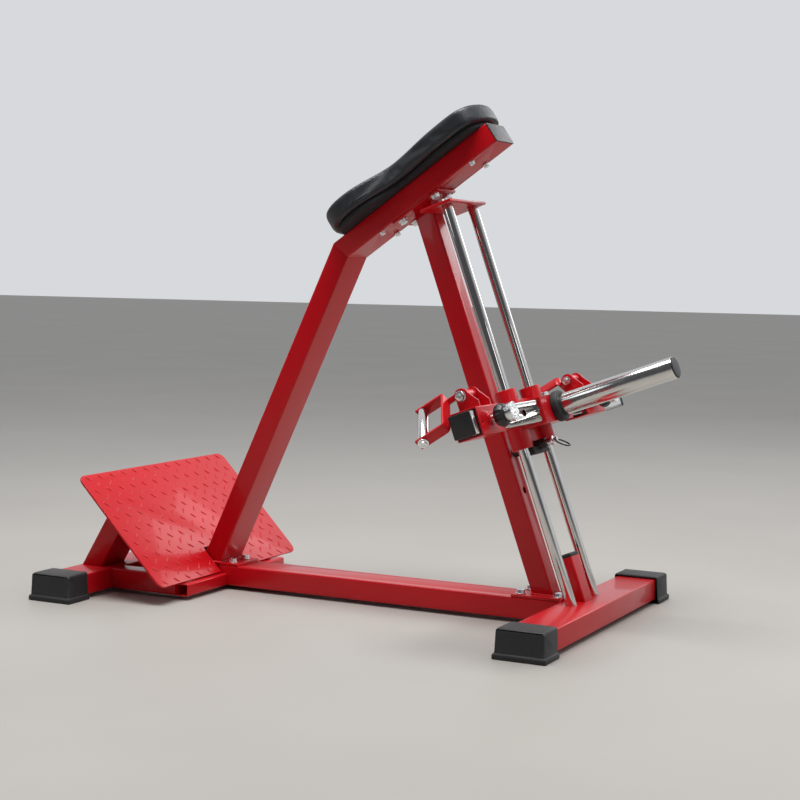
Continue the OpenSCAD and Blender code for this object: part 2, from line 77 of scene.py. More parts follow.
def new_group(name, inputs, outputs):
    """An empty shader group with named float or vector sockets."""
    group = bpy.data.node_groups.new(name, "ShaderNodeTree")
    for label, kind, value in inputs:
        socket = group.interface.new_socket(label, in_out="INPUT", socket_type="NodeSocket" + kind)
        if kind == "Float":
            socket.default_value = value
    for label, kind in outputs:
        group.interface.new_socket(label, in_out="OUTPUT", socket_type="NodeSocket" + kind)
    return group, group.nodes.new("NodeGroupInput"), group.nodes.new("NodeGroupOutput")


def add(tree, kind, operation=None, **values):
    """A node with its inputs set by name, or linked when the value is a socket."""
    node = tree.nodes.new(kind)
    if operation:
        node.operation = operation
    for label, value in values.items():
        key = int(label[1:]) if label[0] == "i" and label[1:].isdigit() else label.replace("_", " ")
        if isinstance(value, bpy.types.NodeSocket):
            tree.links.new(value, node.inputs[key])
        else:
            node.inputs[key].default_value = value
    return node


def grain_group():
    """Height of a fine moulded or sprayed grain: soft noise with cells in it."""
    group, inside, outside = new_group("surface_grain", [("Vector", "Vector", None),
        ("Scale", "Float", 600.0), ("Cells", "Float", 0.3)], [("Height", "Float")])
    noise = add(group, "ShaderNodeTexNoise", Vector=inside.outputs["Vector"],
        Scale=inside.outputs["Scale"], Detail=3.0, Roughness=0.55)
    cells = add(group, "ShaderNodeTexVoronoi", Vector=inside.outputs["Vector"],
        Scale=inside.outputs["Scale"])
    share = add(group, "ShaderNodeMath", "MULTIPLY", i0=cells.outputs["Distance"],
        i1=inside.outputs["Cells"])
    total = add(group, "ShaderNodeMath", "ADD", i0=noise.outputs["Fac"], i1=share.outputs[0])
    group.links.new(total.outputs[0], outside.inputs["Height"])
    return group


def edge_highlight_group():
    """A painted highlight mask: 1 along edges and 0 on flats, broken up by noise."""
    group, inside, outside = new_group("edge_wear", [("Vector", "Vector", None),
        ("Radius", "Float", 0.002), ("Amount", "Float", 1.0)], [("Mask", "Float")])
    soft = add(group, "ShaderNodeBevel", Radius=inside.outputs["Radius"])
    soft.samples = 4
    shape = group.nodes.new("ShaderNodeNewGeometry")
    near = add(group, "ShaderNodeVectorMath", "DOT_PRODUCT", i0=soft.outputs["Normal"],
        i1=shape.outputs["Normal"])
    bent = add(group, "ShaderNodeMath", "SUBTRACT", i0=1.0, i1=near.outputs["Value"])
    patchy = add(group, "ShaderNodeTexNoise", Vector=inside.outputs["Vector"], Scale=60.0, Detail=4.0)
    broken = add(group, "ShaderNodeMath", "MULTIPLY", i0=bent.outputs[0], i1=patchy.outputs["Fac"])
    strong = add(group, "ShaderNodeMath", "MULTIPLY", i0=broken.outputs[0], i1=inside.outputs["Amount"])
    strong.use_clamp = True
    group.links.new(strong.outputs[0], outside.inputs["Mask"])
    return group


def dust_group():
    """A mask of dust: thick on faces that look up, thin and cloudy elsewhere."""
    group, inside, outside = new_group("settled_dust", [("Vector", "Vector", None),
        ("Scale", "Float", 9.0), ("Amount", "Float", 0.2)], [("Mask", "Float")])
    shape = group.nodes.new("ShaderNodeNewGeometry")
    split = add(group, "ShaderNodeSeparateXYZ", Vector=shape.outputs["Normal"])
    up = add(group, "ShaderNodeMapRange", Value=split.outputs["Z"], From_Min=0.2, From_Max=1.0,
        To_Min=0.15)
    cloud = add(group, "ShaderNodeTexNoise", Vector=inside.outputs["Vector"],
        Scale=inside.outputs["Scale"], Detail=6.0, Roughness=0.6)
    both = add(group, "ShaderNodeMath", "MULTIPLY", i0=up.outputs["Result"], i1=cloud.outputs["Fac"])
    mask = add(group, "ShaderNodeMath", "MULTIPLY", i0=both.outputs[0], i1=inside.outputs["Amount"])
    mask.use_clamp = True
    group.links.new(mask.outputs[0], outside.inputs["Mask"])
    return group


surface_grain = grain_group()
edge_wear = edge_highlight_group()
settled_dust = dust_group()


def use(tree, group, **values):
    node = tree.nodes.new("ShaderNodeGroup")
    node.node_tree = group
    for label, value in values.items():
        if isinstance(value, bpy.types.NodeSocket):
            tree.links.new(value, node.inputs[label])
        else:
            node.inputs[label].default_value = value
    return node.outputs[0]


def new_material(name, metallic=0.0, coat=0.0, coat_roughness=0.05):
    """A material with a cleared tree: returns it, its tree, its shader and Object coordinates."""
    made = bpy.data.materials.new(name)
    made.use_nodes = True
    tree = made.node_tree
    tree.nodes.clear()
    shader = tree.nodes.new("ShaderNodeBsdfPrincipled")
    shader.inputs["Metallic"].default_value = metallic
    shader.inputs["Coat Weight"].default_value = coat
    shader.inputs["Coat Roughness"].default_value = coat_roughness
    output = tree.nodes.new("ShaderNodeOutputMaterial")
    tree.links.new(shader.outputs[0], output.inputs["Surface"])
    return made, tree, shader, tree.nodes.new("ShaderNodeTexCoord").outputs["Object"]


def mixed(tree, mask, first, second):
    """A colour that goes from first to second with the mask."""
    node = tree.nodes.new("ShaderNodeMix")
    node.data_type = "RGBA"
    tree.links.new(mask, node.inputs[0])
    for socket, value in ((node.inputs[6], first), (node.inputs[7], second)):
        if isinstance(value, bpy.types.NodeSocket):
            tree.links.new(value, socket)
        else:
            socket.default_value = (*value, 1.0)
    return node.outputs[2]


def spread(tree, value, low, high):
    """A 0 to 1 value spread between low and high."""
    return add(tree, "ShaderNodeMapRange", Value=value, To_Min=low, To_Max=high).outputs["Result"]


def bump(tree, shader, height, strength, distance):
    node = add(tree, "ShaderNodeBump", Strength=strength, Distance=distance, Height=height)
    tree.links.new(node.outputs[0], shader.inputs["Normal"])


def powder_coat():
    made, tree, shader, place = new_material("red_powder_coat", coat=0.20, coat_roughness=0.06)
    cloud = add(tree, "ShaderNodeTexNoise", Vector=place, Scale=7.0, Detail=3.0).outputs["Fac"]
    shader.inputs["Specular IOR Level"].default_value = 0.25
    red = mixed(tree, cloud, (0.50, 0.0012, 0.006), (0.58, 0.0025, 0.009))
    # Painted highlight: the red is mixed lighter along the edges, standing in for the light the rounded
    # edges catch.
    painted_highlight_mask = use(tree, edge_wear, Vector=place, Radius=0.0018, Amount=1.6)
    highlighted_red = mixed(tree, painted_highlight_mask, red, (0.74, 0.03, 0.04))
    dusty = use(tree, settled_dust, Vector=place, Scale=11.0, Amount=0.03)
    tree.links.new(mixed(tree, dusty, highlighted_red, (0.60, 0.40, 0.38)), shader.inputs["Base Color"])
    tree.links.new(spread(tree, cloud, 0.26, 0.38), shader.inputs["Roughness"])
    peel = use(tree, surface_grain, Vector=place, Scale=420.0, Cells=0.2)
    bump(tree, shader, peel, 0.12, 0.0004)
    return made


red_coat = powder_coat()


def finish_node(node, material):
    """Gives a CAD node that keeps its own mesh a new material."""
    materials = frame["nodes"][node].data.materials
    materials.clear()
    materials.append(material)


def linked(name, mesh):
    made = bpy.data.objects.new(name, mesh)
    bpy.context.scene.collection.objects.link(made)
    return made


def settle(piece):
    """Applies a piece's modifiers and leaves it a plain mesh."""
    graph = bpy.context.evaluated_depsgraph_get()
    graph.update()
    solid = bpy.data.meshes.new_from_object(piece.evaluated_get(graph))
    piece.modifiers.clear()
    piece.data = solid
    return piece


def shade(mesh, angle=35):
    mesh.shade_smooth()
    mesh.set_sharp_from_angle(angle=radians(angle))


def clean_copy(node):
    """A merged copy of a node's triangles with its flat faces joined up."""
    bm = bmesh.new()
    bm.from_mesh(frame["nodes"][node].data)
    bmesh.ops.remove_doubles(bm, verts=bm.verts, dist=2e-6)
    bmesh.ops.dissolve_limit(bm, angle_limit=radians(0.4), verts=bm.verts, edges=bm.edges,
        use_dissolve_boundaries=False)
    bm.verts.index_update()
    mesh = bpy.data.meshes.new(node + "_shape")
    mesh.from_pydata([v.co[:] for v in bm.verts], [], [[v.index for v in f.verts] for f in bm.faces])
    bm.free()
    return mesh


def stand_for(piece, node, material):
    """The piece takes a node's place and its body."""
    piece.data.materials.clear()
    piece.data.materials.append(material)
    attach(piece, body_of(frame["nodes"][node])[0])
    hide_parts(node)
    return piece


def rounded(node, material, width, steps=2):
    """Stands for a node with a copy whose sharp edges are broken by a small radius."""
    piece = linked(node + "_piece", clean_copy(node))
    bevel = piece.modifiers.new("edges", "BEVEL")
    bevel.width = width
    bevel.segments = steps
    bevel.limit_method = "ANGLE"
    bevel.angle_limit = radians(40)
    bevel.use_clamp_overlap = False
    settle(piece)
    shade(piece.data)
    return stand_for(piece, node, material)


tube_edge = 0.0006
for node in ("main_beam", "front_crossbar", "rear_crossbar", "left_side_rail", "right_side_rail",
             "plate_stubs", "left_strut", "right_strut"):
    rounded(node, red_coat, tube_edge)

# ---- Feet ----
# Heavy moulded rubber boots pushed over the four tube ends, with a flange on the floor.
# Matt black, with fine pores, a painted highlight of lighter grey along the edges and corners, and grey
# dust on the top.


def moulded_rubber():
    made, tree, shader, place = new_material("moulded_rubber")
    cloud = add(tree, "ShaderNodeTexNoise", Vector=place, Scale=30.0, Detail=5.0).outputs["Fac"]
    black = mixed(tree, cloud, (0.009, 0.009, 0.010), (0.018, 0.018, 0.020))
    # Painted highlight: the black is mixed to a lighter grey along the edges, standing in for the light
    # they catch.
    painted_highlight_mask = use(tree, edge_wear, Vector=place, Radius=0.002, Amount=1.2)
    dusty = use(tree, settled_dust, Vector=place, Scale=24.0, Amount=0.20)
    grey = mixed(tree, painted_highlight_mask, black, (0.06, 0.06, 0.063))
    tree.links.new(mixed(tree, dusty, grey, (0.22, 0.21, 0.20)), shader.inputs["Base Color"])
    tree.links.new(spread(tree, cloud, 0.50, 0.72), shader.inputs["Roughness"])
    pores = use(tree, surface_grain, Vector=place, Scale=900.0, Cells=0.8)
    bump(tree, shader, pores, 0.35, 0.0004)
    return made


black_rubber = moulded_rubber()
for end in ("front", "rear"):
    for side in ("left", "right"):
        rounded(f"{end}_{side}_foot", black_rubber, 0.0028, steps=3)

# ---- Foot plate ----
# Tread plate: 5 mm steel with raised lugs in two crossing families, red like the frame.
# It is welded to the struts, slopes up from the floor and is notched round the main beam.

front_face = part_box("front_crossbar")[1].x
plate_length, plate_width, plate_slope = 0.350, 0.634, radians(45.8)
plate_frame = (Matrix.Translation((front_face - 1.010, 0, 0.0445))
               @ Matrix.Rotation(plate_slope, 4, "Y"))
rounded("foot_plate", red_coat, 0.0010, steps=3)


def size_input(tree, label, value, kind="Float"):
    socket = tree.interface.new_socket(label, in_out="INPUT", socket_type="NodeSocket" + kind)
    if value is not None:
        socket.default_value = value
    return socket


def tread_tree():
    """Two staggered grids of lugs, clear of the plate's edge and of its notch."""
    tree = bpy.data.node_groups.new("raised_tread", "GeometryNodeTree")
    for label, value in (("Rise", 0.041), ("Reach", 0.048), ("Lug Length", 0.022),
                         ("Lug Width", 0.0064), ("Lug Height", 0.0016), ("Margin", 0.010),
                         ("Notch Length", 0.078), ("Notch Half", 0.053)):
        size_input(tree, label, value)
    size_input(tree, "Rows", 9, "Int")
    size_input(tree, "Lugs in a Row", 15, "Int")
    size_input(tree, "Finish", None, "Material")
    tree.interface.new_socket("Geometry", in_out="OUTPUT", socket_type="NodeSocketGeometry")
    inside, outside = tree.nodes.new("NodeGroupInput").outputs, tree.nodes.new("NodeGroupOutput")
    joined = tree.nodes.new("GeometryNodeJoinGeometry")

    def maths(operation, a, b=0.0):
        return add(tree, "ShaderNodeMath", operation, i0=a, i1=b).outputs[0]

    def span(pitch, count):
        return maths("MULTIPLY", inside[pitch], maths("SUBTRACT", inside[count], 1.0))

    size = add(tree, "ShaderNodeCombineXYZ", X=maths("DIVIDE", inside["Lug Length"], 2.0),
        Y=maths("DIVIDE", inside["Lug Width"], 2.0), Z=inside["Lug Height"])
    ball = add(tree, "GeometryNodeMeshUVSphere", Segments=10, Rings=6, Radius=1.0)
    lug = add(tree, "GeometryNodeTransform", Geometry=ball.outputs[0], Scale=size.outputs[0])
    for turn, shift in ((0.25 * pi, 0.0), (-0.25 * pi, 0.5)):
        grid = add(tree, "GeometryNodeMeshGrid", Size_X=span("Rise", "Rows"),
            Size_Y=span("Reach", "Lugs in a Row"), Vertices_X=inside["Rows"],
            Vertices_Y=inside["Lugs in a Row"])
        move = add(tree, "ShaderNodeCombineXYZ",
            X=maths("SUBTRACT", maths("MULTIPLY", inside["Rise"], shift), plate_length / 2),
            Y=maths("MULTIPLY", inside["Reach"], shift))
        placed = add(tree, "GeometryNodeTransform", Geometry=grid.outputs[0],
            Translation=move.outputs[0])
        spot = add(tree, "ShaderNodeSeparateXYZ",
            Vector=tree.nodes.new("GeometryNodeInputPosition").outputs[0])
        x, y = spot.outputs["X"], maths("ABSOLUTE", spot.outputs["Y"])
        from_middle = maths("ABSOLUTE", maths("ADD", x, plate_length / 2))
        off_end = maths("GREATER_THAN", from_middle, maths("SUBTRACT", plate_length / 2, inside["Margin"]))
        off_side = maths("GREATER_THAN", y, maths("SUBTRACT", plate_width / 2, inside["Margin"]))
        in_notch = maths("MULTIPLY",
            maths("GREATER_THAN", maths("ADD", x, maths("ADD", inside["Notch Length"],
                inside["Margin"])), 0.0),
            maths("LESS_THAN", y, maths("ADD", inside["Notch Half"], inside["Margin"])))
        gone = maths("GREATER_THAN", maths("ADD", maths("ADD", off_end, off_side), in_notch), 0.5)
        kept = add(tree, "GeometryNodeDeleteGeometry", Geometry=placed.outputs[0], Selection=gone)
        spin = add(tree, "ShaderNodeCombineXYZ", Z=turn)
        many = add(tree, "GeometryNodeInstanceOnPoints", Points=kept.outputs[0],
            Instance=lug.outputs[0], Rotation=spin.outputs[0])
        tree.links.new(many.outputs[0], joined.inputs[0])
    real = add(tree, "GeometryNodeRealizeInstances", Geometry=joined.outputs[0])
    painted = add(tree, "GeometryNodeSetMaterial", Geometry=real.outputs[0],
        Material=inside["Finish"])
    tree.links.new(painted.outputs[0], outside.inputs[0])
    return tree


def grow(name, tree, mesh=None, **values):
    """Runs a Geometry Nodes tree on a mesh and keeps the result as a plain mesh."""
    piece = linked(name, mesh or bpy.data.meshes.new(name))
    modifier = piece.modifiers.new(name, "NODES")
    modifier.node_group = tree
    for item in tree.interface.items_tree:
        label = item.name.replace(" ", "_")
        if item.in_out == "INPUT" and label in values:
            modifier[item.identifier] = values[label]
    return settle(piece)


lugs = grow("tread_lugs", tread_tree(), Finish=red_coat)
lugs.data.transform(plate_frame)
shade(lugs.data, 60)
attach(lugs, "frame")

# ---- Posts, flanges and pad beam ----
# The rear post and the pad beam meet in a mitred knee; both posts stand on bolted flanges.
# Red tube and plate as in the base, and a black push-in cap closes the pad beam.

for node in ("rear_post", "pad_beam", "front_post"):
    rounded(node, red_coat, tube_edge)
for node in ("rear_post_flange", "front_post_flange", "head_flange", "rod_head_plate"):
    rounded(node, red_coat, 0.0009)

# ---- Welds ----
# Fillet welds round the feet of the two posts and where the beam meets the cross-bars.
# Each is a row of overlapping beads under the red coat.


def weld_tree():
    """Overlapping flattened beads along every edge of a mesh."""
    tree = bpy.data.node_groups.new("weld_beads", "GeometryNodeTree")
    size_input(tree, "Path", None, "Geometry")
    size_input(tree, "Spacing", 0.0030)
    size_input(tree, "Bead Radius", 0.0036)
    size_input(tree, "Finish", None, "Material")
    tree.interface.new_socket("Geometry", in_out="OUTPUT", socket_type="NodeSocketGeometry")
    inside, outside = tree.nodes.new("NodeGroupInput").outputs, tree.nodes.new("NodeGroupOutput")
    path = add(tree, "GeometryNodeMeshToCurve", Mesh=inside["Path"])
    points = tree.nodes.new("GeometryNodeCurveToPoints")
    points.mode = "LENGTH"
    tree.links.new(path.outputs[0], points.inputs["Curve"])
    tree.links.new(inside["Spacing"], points.inputs["Length"])
    bead = add(tree, "GeometryNodeMeshUVSphere", Segments=8, Rings=6, Radius=inside["Bead Radius"])
    many = add(tree, "GeometryNodeInstanceOnPoints", Points=points.outputs["Points"],
        Instance=bead.outputs[0], Rotation=points.outputs["Rotation"], Scale=(1.0, 1.0, 0.75))
    real = add(tree, "GeometryNodeRealizeInstances", Geometry=many.outputs[0])
    painted = add(tree, "GeometryNodeSetMaterial", Geometry=real.outputs[0],
        Material=inside["Finish"])
    tree.links.new(painted.outputs[0], outside.inputs[0])
    return tree


def foot_outline(node, height):
    """The rectangle that a node's foot covers on a level plane."""
    level = [v.co for v in frame["nodes"][node].data.vertices if abs(v.co.z - height) < 0.0006]
    low_x, high_x = min(p.x for p in level), max(p.x for p in level)
    low_y, high_y = min(p.y for p in level), max(p.y for p in level)
    return [(low_x, low_y, height), (high_x, low_y, height), (high_x, high_y, height),
            (low_x, high_y, height), (low_x, low_y, height)]


def weld_paths(lines):
    mesh = bpy.data.meshes.new("weld_path")
    verts = [p for line in lines for p in line]
    edges, start = [], 0
    for line in lines:
        edges += [(start + i, start + i + 1) for i in range(len(line) - 1)]
        start += len(line)
    mesh.from_pydata(verts, edges, [])
    return mesh


flange_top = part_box("rear_post_flange")[1].z
beam_low, beam_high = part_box("main_beam")
weld_lines = [foot_outline(node, flange_top) for node in ("rear_post", "front_post")]
for x in (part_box("front_crossbar")[0].x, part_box("rear_crossbar")[1].x):
    weld_lines.append([(x, beam_low.y, beam_low.z), (x, beam_low.y, beam_high.z),
        (x, beam_high.y, beam_high.z), (x, beam_high.y, beam_low.z)])
welds = grow("frame_welds", weld_tree(), weld_paths(weld_lines), Finish=red_coat)
shade(welds.data, 180)
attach(welds, "frame")


def moulded_plastic():
    made, tree, shader, place = new_material("moulded_plastic")
    cloud = add(tree, "ShaderNodeTexNoise", Vector=place, Scale=45.0, Detail=4.0).outputs["Fac"]
    black = mixed(tree, cloud, (0.012, 0.012, 0.013), (0.022, 0.022, 0.024))
    # Painted highlight: the black is mixed to a lighter grey along the edges, standing in for the light
    # they catch.
    painted_highlight_mask = use(tree, edge_wear, Vector=place, Radius=0.0012, Amount=1.0)
    tree.links.new(mixed(tree, painted_highlight_mask, black, (0.07, 0.07, 0.075)), shader.inputs["Base Color"])
    tree.links.new(spread(tree, cloud, 0.32, 0.46), shader.inputs["Roughness"])
    grain = use(tree, surface_grain, Vector=place, Scale=1500.0, Cells=0.5)
    bump(tree, shader, grain, 0.18, 0.0002)
    return made


black_plastic = moulded_plastic()
rounded("tube_end_caps", black_plastic, 0.0010, steps=3)

# ---- Guide rods ----
# Two hard-chromed round bars, ground and polished, that the carriage runs on.
# They stand in the base plate and are bolted through the head plate.

rod_lean = radians(20)


def chrome_plate(name, roughness, streak_depth, lean):
    """Polished chrome with faint lengthwise polishing streaks along an axis leant about Y."""
    made, tree, shader, place = new_material(name, metallic=1.0)
    turned = add(tree, "ShaderNodeMapping", Vector=place, Rotation=(0.0, lean, 0.0),
        Scale=(900.0, 900.0, 14.0))
    streaks = add(tree, "ShaderNodeTexNoise", Vector=turned.outputs[0], Scale=1.0,
        Detail=3.0).outputs["Fac"]
    smears = add(tree, "ShaderNodeTexNoise", Vector=place, Scale=26.0, Detail=4.0).outputs["Fac"]
    tree.links.new(mixed(tree, smears, (0.60, 0.59, 0.57), (0.74, 0.73, 0.71)),
        shader.inputs["Base Color"])
    tree.links.new(spread(tree, smears, roughness * 0.7, roughness * 1.4),
        shader.inputs["Roughness"])
    bump(tree, shader, streaks, streak_depth, 0.0001)
    return made


rod_chrome = chrome_plate("polished_rod", 0.08, 0.10, rod_lean)
for side in ("left", "right"):
    rounded(f"{side}_guide_rod", rod_chrome, 0.0008)

# ---- Fasteners ----
# Zinc plated hexagon bolts with washers; nuts close the ones that go right through.
# The zinc is bright with a fine crystal grain, duller where a spanner has been.


def zinc_plate():
    made, tree, shader, place = new_material("zinc_plate", metallic=1.0)
    crystals = add(tree, "ShaderNodeTexVoronoi", Vector=place, Scale=700.0).outputs["Distance"]
    cloud = add(tree, "ShaderNodeTexNoise", Vector=place, Scale=120.0, Detail=5.0).outputs["Fac"]
    tree.links.new(mixed(tree, cloud, (0.74, 0.75, 0.76), (0.90, 0.91, 0.92)),
        shader.inputs["Base Color"])
    tree.links.new(spread(tree, cloud, 0.18, 0.36), shader.inputs["Roughness"])
    bump(tree, shader, crystals, 0.12, 0.0002)
    return made


zinc = zinc_plate()
for node in ("frame_bolts", "pad_screws", "bracket_bolt", "left_hinge_bolt", "right_hinge_bolt",
             "left_grip_bolt", "right_grip_bolt", "lock_pin"):
    rounded(node, zinc, 0.0004)

# ---- Pad ----
# Dense foam on a plywood board, covered in black grained vinyl drawn over a bevelled edge.
# Screws from below hold the board to the beam. The cover is simulated as cloth over the foam.

pad_length, pad_start, board = 0.478, 0.011, 0.012
pad_slope = radians(35)
low_lobe, waist, top_lobe = (0.100, 0.126), (0.236, 0.082), (0.372, 0.097)
low_bluntness, top_bluntness = 2.8, 5.0
knee = Vector((front_face - 0.701, 0, 0.8685))
pad_frame = (Matrix.Translation(knee) @ Matrix.Rotation(-pad_slope, 4, "Y")
             @ Matrix.Translation((pad_start, 0, board)))


def half_width(x):
    """Half of the pad's width: a wide lower lobe, a waist and a narrower upper lobe."""
    def round_end(t, bluntness):
        return sqrt(max(0.0, 1 - t ** bluntness))

    def ease(a, b, t):
        return a + (b - a) * (1 - cos(pi * t)) / 2

    (low_x, low), (waist_x, narrow), (top_x, top) = low_lobe, waist, top_lobe
    if x < low_x:
        return low * round_end((low_x - x) / low_x, low_bluntness)
    if x < waist_x:
        return ease(low, narrow, (x - low_x) / (waist_x - low_x))
    if x < top_x:
        return ease(narrow, top, (x - waist_x) / (top_x - waist_x))
    return top * round_end((x - top_x) / (pad_length - top_x), top_bluntness)


def pad_ring(inset, height, steps=44):
    """One closed ring round the pad, set in from the outline, at a height over the board."""
    near, far = [], []
    for i in range(1, steps):
        x = pad_length * (1 - cos(pi * i / steps)) / 2
        w = max(half_width(x) - inset, 0.004)
        px = inset + x * (pad_length - 2 * inset) / pad_length
        near.append(Vector((px, -w, height)))
        far.append(Vector((px, w, height)))
    tail, tip = Vector((inset, 0, height)), Vector((pad_length - inset, 0, height))
    return [tail, *near, tip, *reversed(far)]


def lofted(name, rings):
    """A closed mesh through a stack of rings, with its ends filled."""
    count = len(rings[0])
    points = [p for ring in rings for p in ring]
    faces = [[r * count + i, r * count + (i + 1) % count, (r + 1) * count + (i + 1) % count,
              (r + 1) * count + i] for r in range(len(rings) - 1) for i in range(count)]
    faces.append(list(reversed(range(count))))
    faces.append([(len(rings) - 1) * count + i for i in range(count)])
    mesh = bpy.data.meshes.new(name)
    mesh.from_pydata(points, [], faces)
    return mesh


def inflate(piece, voxel, pressure, cap, hold):
    """Swells a closed piece as cloth; a point moves at most cap, and none that hold() names."""
    remesh = piece.modifiers.new("remesh", "REMESH")
    remesh.mode = "VOXEL"
    remesh.voxel_size = voxel
    settle(piece)
    start = [v.co.copy() for v in piece.data.vertices]
    fixed = piece.vertex_groups.new(name="held")
    fixed.add([i for i, p in enumerate(start) if hold(p)], 1.0, "REPLACE")
    cloth = piece.modifiers.new("cloth", "CLOTH")
    cloth.settings.vertex_group_mass = "held"
    cloth.settings.use_pressure = True
    cloth.settings.uniform_pressure_force = pressure
    cloth.settings.tension_stiffness = cloth.settings.compression_stiffness = 40
    cloth.settings.bending_stiffness = 12
    cloth.settings.effector_weights.gravity = 0
    cloth.point_cache.frame_end = last_step = 20
    for step in range(1, last_step + 1):
        bpy.context.scene.frame_set(step)
    settle(piece)
    bpy.context.scene.frame_set(1)
    for vertex, rest in zip(piece.data.vertices, start):
        moved = vertex.co - rest
        if moved.length > cap:
            vertex.co = rest + moved * (cap / moved.length)
    piece.vertex_groups.clear()
    finer = piece.modifiers.new("finer", "SUBSURF")
    finer.levels = finer.render_levels = 1
    return settle(piece)


def grained_vinyl():
    made, tree, shader, place = new_material("grained_vinyl", coat=0.12, coat_roughness=0.35)
    cloud = add(tree, "ShaderNodeTexNoise", Vector=place, Scale=14.0, Detail=4.0).outputs["Fac"]
    cells = add(tree, "ShaderNodeTexVoronoi", Vector=place, Scale=620.0)
    cells.feature = "DISTANCE_TO_EDGE"
    folds = add(tree, "ShaderNodeTexNoise", Vector=place, Scale=220.0, Detail=6.0).outputs["Fac"]
    leather = add(tree, "ShaderNodeMath", "ADD", i0=cells.outputs["Distance"], i1=folds)
    dark = mixed(tree, cloud, (0.010, 0.011, 0.014), (0.019, 0.021, 0.026))
    dusty = use(tree, settled_dust, Vector=place, Scale=18.0, Amount=0.10)
    tree.links.new(mixed(tree, dusty, dark, (0.20, 0.21, 0.22)), shader.inputs["Base Color"])
    tree.links.new(spread(tree, cloud, 0.36, 0.50), shader.inputs["Roughness"])
    bump(tree, shader, leather.outputs[0], 0.30, 0.0006)
    return made


vinyl = grained_vinyl()
swell = 0.0025
# Each level of the foam: how far its ring is set in, and its height over the board.
levels = ((0.014, 0.0), (0.009, 0.0), (0.002, 0.002), (0.0, 0.006), (0.0, 0.016), (0.0, 0.026),
          (0.0, 0.036), (0.001, 0.041), (0.005, 0.0445), (0.014, 0.0455))
cushion = linked("pad_cover", lofted("pad_cover", [pad_ring(i + swell, h) for i, h in levels]))
inflate(cushion, voxel=0.0045, pressure=2.5, cap=0.0035, hold=lambda p: p.z < 0.003)
for vertex in cushion.data.vertices:
    vertex.co.z = max(vertex.co.z, 0.0)
cushion.data.transform(pad_frame)
shade(cushion.data, 180)
stand_for(cushion, "pad_cushion", vinyl)


def tube_along(name, points, radius, sides=8):
    """A closed tube round a closed loop of points."""
    mesh = bpy.data.meshes.new(name)
    count = len(points)
    verts, faces = [], []
    for i, p in enumerate(points):
        ahead = (points[(i + 1) % count] - points[i - 1]).normalized()
        up = Vector((0, 0, 1))
        out = ahead.cross(up)
        for k in range(sides):
            turn = 2 * pi * k / sides
            verts.append(p + (out * cos(turn) + up * sin(turn)) * radius)
    for i in range(count):
        j = (i + 1) % count
        for k in range(sides):
            m = (k + 1) % sides
            faces.append([i * sides + k, j * sides + k, j * sides + m, i * sides + m])
    mesh.from_pydata(verts, [], faces)
    return mesh


seam = linked("pad_seam", tube_along("pad_seam", pad_ring(0.0045, 0.0128), 0.0017))
seam.data.transform(pad_frame)
shade(seam.data, 180)
seam.data.materials.append(vinyl)
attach(seam, "frame")


def backing_cloth():
    made, tree, shader, place = new_material("backing_cloth")
    weave = add(tree, "ShaderNodeTexWave", Vector=place, Scale=380.0, Distortion=1.5, Detail=2.0)
    fluff = add(tree, "ShaderNodeTexNoise", Vector=place, Scale=300.0, Detail=5.0).outputs["Fac"]
    both = add(tree, "ShaderNodeMath", "ADD", i0=weave.outputs["Fac"], i1=fluff)
    tree.links.new(mixed(tree, fluff, (0.010, 0.010, 0.012), (0.030, 0.028, 0.032)),
        shader.inputs["Base Color"])
    shader.inputs["Roughness"].default_value = 0.85
    bump(tree, shader, both.outputs[0], 0.5, 0.0004)
    return made


rounded("pad_board", backing_cloth(), 0.0035, steps=3)

# ---- Lower stop ----
# A short red stub of tube between the rods with a rubber pad that catches the carriage.

rounded("stop_post", red_coat, tube_edge)
rounded("stop_pad", black_rubber, 0.0015, steps=3)

# ---- Carriage ----
# Two sleeves with ball bearings joined by a web, and a bracket that clamps the cross bar.
# Welded plate and round tube in the frame's red; a rubber bumper sits under the web.

for side in ("left", "right"):
    rounded(f"{side}_sleeve", red_coat, 0.0010, steps=3)
for node in ("carriage_web", "bar_bracket"):
    rounded(node, red_coat, 0.0010, steps=3)
rounded("carriage_bumper", black_rubber, 0.0015, steps=3)


def ground_steel():
    made, tree, shader, place = new_material("ground_steel", metallic=1.0)
    marks = add(tree, "ShaderNodeTexNoise", Vector=place, Scale=350.0, Detail=4.0).outputs["Fac"]
    tree.links.new(mixed(tree, marks, (0.30, 0.30, 0.31), (0.48, 0.48, 0.49)),
        shader.inputs["Base Color"])
    tree.links.new(spread(tree, marks, 0.25, 0.40), shader.inputs["Roughness"])
    bump(tree, shader, marks, 0.1, 0.0001)
    return made


rounded("sleeve_bearings", ground_steel(), 0.0006)

# ---- Cross bar and weight horn ----
# Chromed 50 mm square tube with grip-width holes, and a chromed 50 mm horn for plates.
# Plastic caps close the square tube, a rubber collar stops the plates at the bracket.

bar_chrome = chrome_plate("plated_bar", 0.11, 0.16, 0.0)
horn_chrome = chrome_plate("plated_horn", 0.15, 0.30, rod_lean + pi / 2)
rounded("cross_bar", bar_chrome, 0.0005)
rounded("weight_horn", horn_chrome, 0.0008)
rounded("horn_end_cap", black_plastic, 0.0006)
rounded("cross_bar_caps", black_plastic, 0.0012, steps=3)
rounded("horn_collar", black_rubber, 0.0020, steps=3)

# ---- Carriage lock ----
# A sprung pin in a black housing that drops into the front post, with a coated wire loop.

rounded("lock_housing", black_plastic, 0.0012, steps=3)
finish_node("pull_loop", black_plastic)

# ---- Slider blocks ----
# Square steel sleeves that slide along the cross bar on plastic liners, two ears on top.
# Each carries the hinge of a handle and a boss for its pop-pin.

for side in ("left", "right"):
    rounded(f"{side}_slider_block", red_coat, 0.0008, steps=2)
    rounded(f"{side}_slider_liner", black_plastic, 0.0005)

